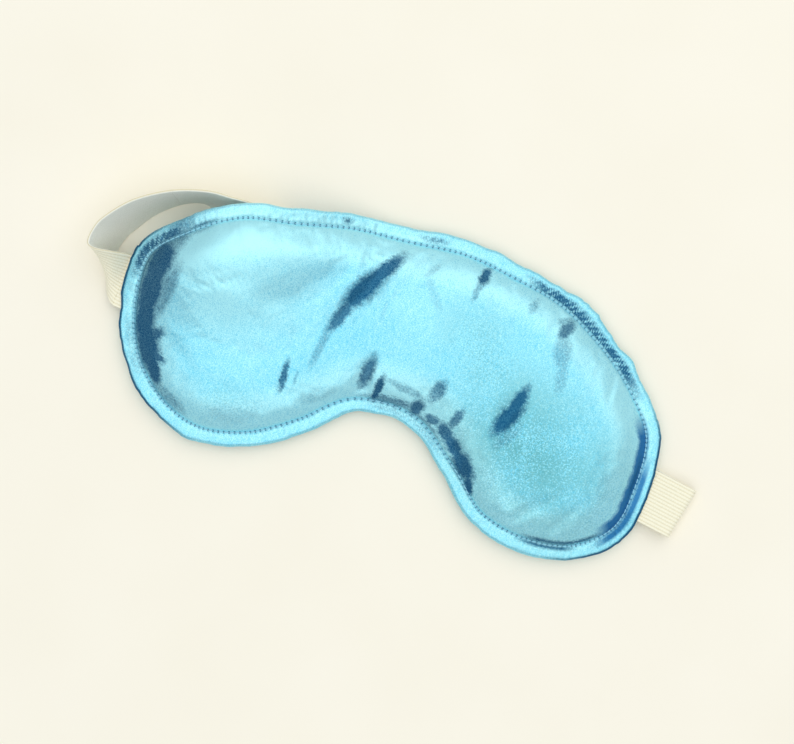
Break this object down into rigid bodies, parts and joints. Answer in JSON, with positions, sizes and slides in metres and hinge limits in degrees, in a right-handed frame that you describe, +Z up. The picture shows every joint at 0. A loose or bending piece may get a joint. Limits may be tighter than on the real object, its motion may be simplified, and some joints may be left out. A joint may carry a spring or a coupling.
{
  "type": "padded eye mask",
  "caption": "Padded satin eye pillow with a topstitched border and a woven elastic strap sewn into its side seams, lying on its back.",
  "frame": {"origin": "centre of the whole object's bounding box in X and Y, on the table in Z", "axes": "+X along the mask towards the folded end of the strap, +Y towards the forehead edge, +Z up from the table through the satin front"},
  "size_m": [0.2389, 0.1035, 0.0249],
  "materials": {
    "satin": "satin weave, sky blue",
    "wadding": "soft polyester wadding",
    "lining": "dark plain weave",
    "thread": "pale sewing thread",
    "elastic": "ivory ribbed woven elastic"
  },
  "bodies": {
    "mask": {"front_panel": "satin", "back_panel": "satin", "front_wadding": "wadding", "back_wadding": "wadding", "blackout_lining": "lining", "seam_thread": "thread", "needle_thread": "thread", "bobbin_thread": "thread", "strap_end_left": "elastic", "strap_end_right": "elastic"},
    "strap": {"elastic_strap": "elastic"}
  },
  "joints": [
    {"name": "strap_swing", "type": "hinge", "parent": "mask", "child": "strap", "pos_m": [-0.1063, -0.0045, 0.0045], "axis": [-0.996, 0.0872, 0.0187], "range_deg": [0, 120]}
  ]
}
